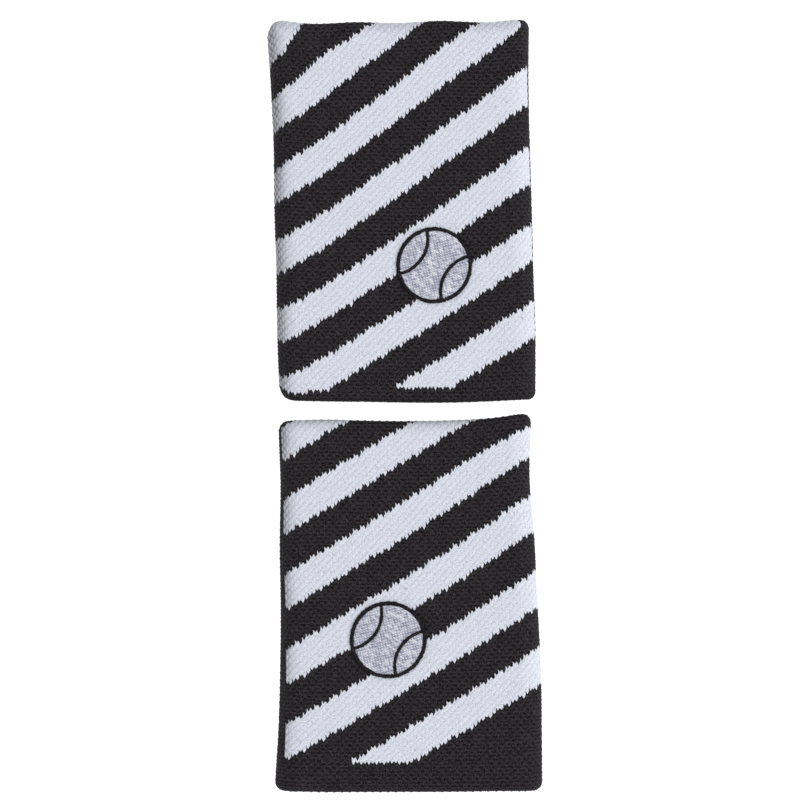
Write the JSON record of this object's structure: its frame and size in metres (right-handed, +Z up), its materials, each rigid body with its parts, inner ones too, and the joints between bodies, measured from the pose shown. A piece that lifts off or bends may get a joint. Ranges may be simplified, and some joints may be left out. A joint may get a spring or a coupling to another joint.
{
  "type": "sweat wristband",
  "caption": "Knitted sweat wristbands lying flat: diagonal-striped sleeves with turned-in hems, terry lining and elastic yarn; each front lifts to let a hand in.",
  "frame": {"origin": "middle of the pair's bounding box, on the table that both bands lie on", "axes": "+X across the bands, +Y along them from the lower band to the upper band, +Z up out of the table"},
  "size_m": [0.0898, 0.255, 0.015],
  "materials": {
    "striped_knit": "black and white jacquard knit in diagonal stripes, matt, plain black hem at the lower mouth",
    "terry": "black looped terry, matt",
    "linking_thread": "black linking chain, matt",
    "covered_elastic": "white yarn-covered elastic, matt",
    "silver_satin_thread": "silver-lilac satin-stitch embroidery, soft sheen",
    "black_satin_thread": "black satin-stitch border, soft sheen",
    "backing_fleece": "white non-woven embroidery backing, matt"
  },
  "bodies": {
    "upper_back": {"upper_sleeve_back": "striped_knit", "upper_lining_back": "terry", "upper_top_seam": "linking_thread", "upper_bottom_seam": "linking_thread", "upper_elastic_yarn": "covered_elastic"},
    "upper_front": {"upper_sleeve_front": "striped_knit", "upper_lining_front": "terry", "upper_badge_border": "black_satin_thread", "upper_badge_left_fill": "silver_satin_thread", "upper_badge_middle_fill": "silver_satin_thread", "upper_badge_right_fill": "silver_satin_thread", "upper_badge_backing": "backing_fleece"},
    "lower_back": {"lower_sleeve_back": "striped_knit", "lower_lining_back": "terry", "lower_top_seam": "linking_thread", "lower_bottom_seam": "linking_thread", "lower_elastic_yarn": "covered_elastic"},
    "lower_front": {"lower_sleeve_front": "striped_knit", "lower_lining_front": "terry", "lower_badge_border": "black_satin_thread", "lower_badge_left_fill": "silver_satin_thread", "lower_badge_middle_fill": "silver_satin_thread", "lower_badge_right_fill": "silver_satin_thread", "lower_badge_backing": "backing_fleece"}
  },
  "joints": [
    {"name": "upper_mouth_opening", "type": "slide", "parent": "upper_back", "child": "upper_front", "axis": [0, 0, 1], "range_m": [0, 0.035], "stiffness_N_per_m": 400, "deforming": ["upper_top_seam", "upper_bottom_seam", "upper_elastic_yarn"]},
    {"name": "lower_mouth_opening", "type": "slide", "parent": "lower_back", "child": "lower_front", "axis": [0, 0, 1], "range_m": [0, 0.035], "stiffness_N_per_m": 400, "deforming": ["lower_top_seam", "lower_bottom_seam", "lower_elastic_yarn"]},
    {"name": "lower_band_lift", "type": "slide", "parent": "upper_back", "child": "lower_back", "axis": [0, 0, 1], "range_m": [0, 0.1]}
  ]
}
